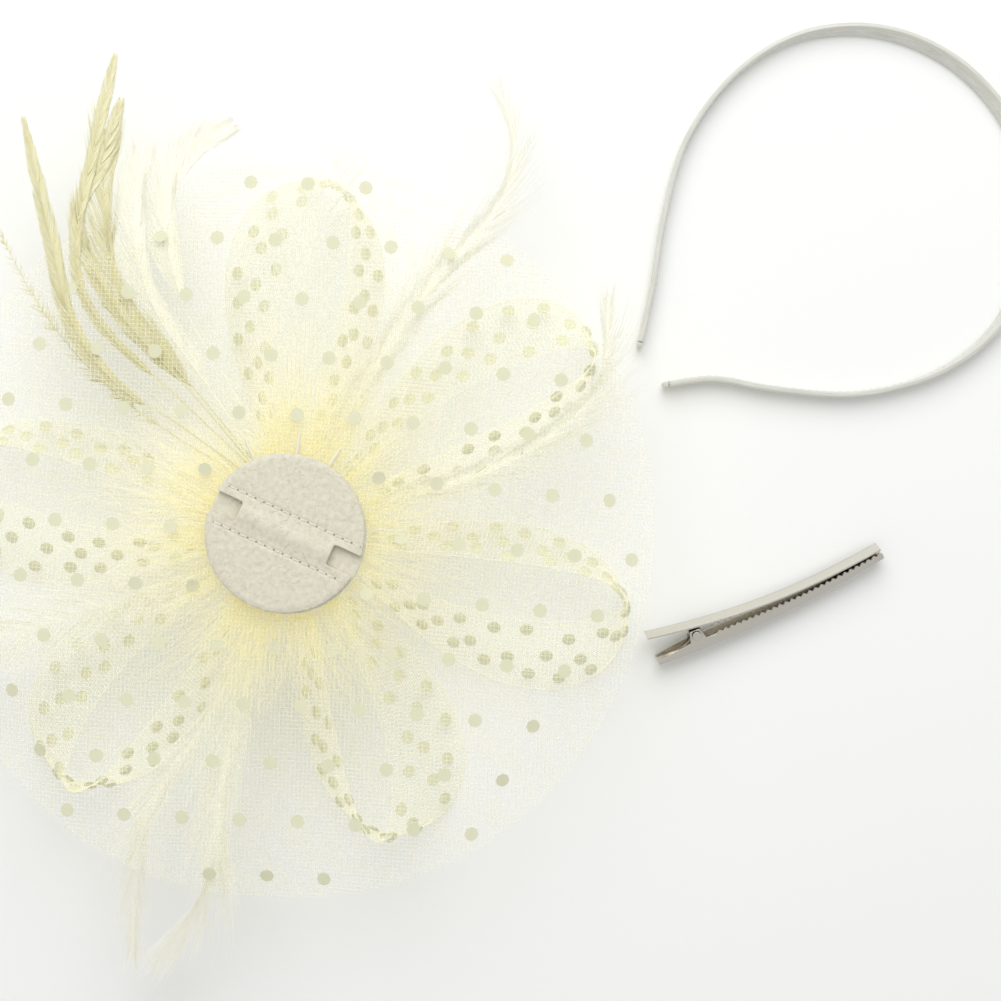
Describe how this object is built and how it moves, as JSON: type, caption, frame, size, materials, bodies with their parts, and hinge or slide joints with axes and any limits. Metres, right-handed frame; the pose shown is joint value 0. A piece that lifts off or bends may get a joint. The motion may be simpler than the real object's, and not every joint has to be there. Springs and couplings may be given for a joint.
{
  "type": "fascinator headpiece",
  "caption": "Ivory dotted-net flower fascinator with feathers on a felt pad, lying face down beside its satin headband and toothed hair clip.",
  "frame": {"origin": "The middle of the felt pad's outer face, on the felt between the two stitched rows.", "axes": "+Z is out of the felt pad's face, up from the surface that the flower lies on face down. +X runs across to the headband and the clip, and +Y towards the headband."},
  "size_m": [0.3369, 0.2908, 0.05],
  "materials": {
    "wool_felt": "matt off-white needled felt",
    "polyester_thread": "twisted white sewing thread",
    "hot_glue": "cloudy set hot-melt glue",
    "dotted_net": "fine square ivory net with flocked dots",
    "hackle": "dyed ivory-khaki cock feather",
    "marabou": "dyed ivory marabou down",
    "quill_horn": "smooth glossy quill",
    "satin": "grey-ivory satin ribbon, tightly wrapped",
    "spring_steel": "drawn spring steel",
    "nickel_plate": "bright nickel plate on pressed steel"
  },
  "bodies": {
    "flower": {"felt_strap_disc": "wool_felt", "felt_base_disc": "wool_felt", "stitch_row_upper": "polyester_thread", "stitch_row_lower": "polyester_thread", "hot_glue_bed": "hot_glue", "veil_net": "dotted_net", "feather_fringe": "marabou", "thread_binding": "polyester_thread", "front_centre_knot": "dotted_net", "net_loop_1": "dotted_net", "net_loop_2": "dotted_net", "net_loop_3": "dotted_net", "net_loop_4": "dotted_net", "net_loop_5": "dotted_net", "net_loop_6": "dotted_net", "hackle_feather_1": "hackle", "hackle_feather_2": "hackle", "hackle_feather_3": "hackle", "hackle_feather_4": "hackle", "hackle_feather_5": "hackle", "hackle_feather_6": "hackle", "hackle_feather_7": "hackle", "marabou_plume_1": "marabou", "marabou_plume_2": "marabou", "marabou_plume_3": "marabou", "marabou_plume_4": "marabou", "marabou_plume_5": "marabou", "marabou_plume_6": "marabou", "quill_butt_1": "quill_horn", "quill_butt_2": "quill_horn", "quill_butt_3": "quill_horn"},
    "headband": {"headband_satin_wrap": "satin", "headband_spring_core": "spring_steel", "headband_end_1": "satin", "headband_end_2": "satin"},
    "clip": {"clip_lower_jaw": "nickel_plate", "clip_pivot_pin": "nickel_plate", "clip_torsion_spring": "spring_steel"},
    "clip_arm": {"clip_upper_arm": "nickel_plate"}
  },
  "joints": [
    {"name": "headband_lift", "type": "slide", "parent": "flower", "child": "headband", "axis": [0, 0, 1], "range_m": [0, 0.06]},
    {"name": "clip_lift", "type": "slide", "parent": "flower", "child": "clip", "axis": [0, 0, 1], "range_m": [0, 0.06]},
    {"name": "clip_jaw_open", "type": "hinge", "parent": "clip", "child": "clip_arm", "pos_m": [0.12209, -0.03053, -0.04495], "axis": [0.1613, -0.3381, 0.9272], "range_deg": [0, 25], "stiffness_Nm_per_rad": 0.05, "springref_deg": -17.19}
  ]
}
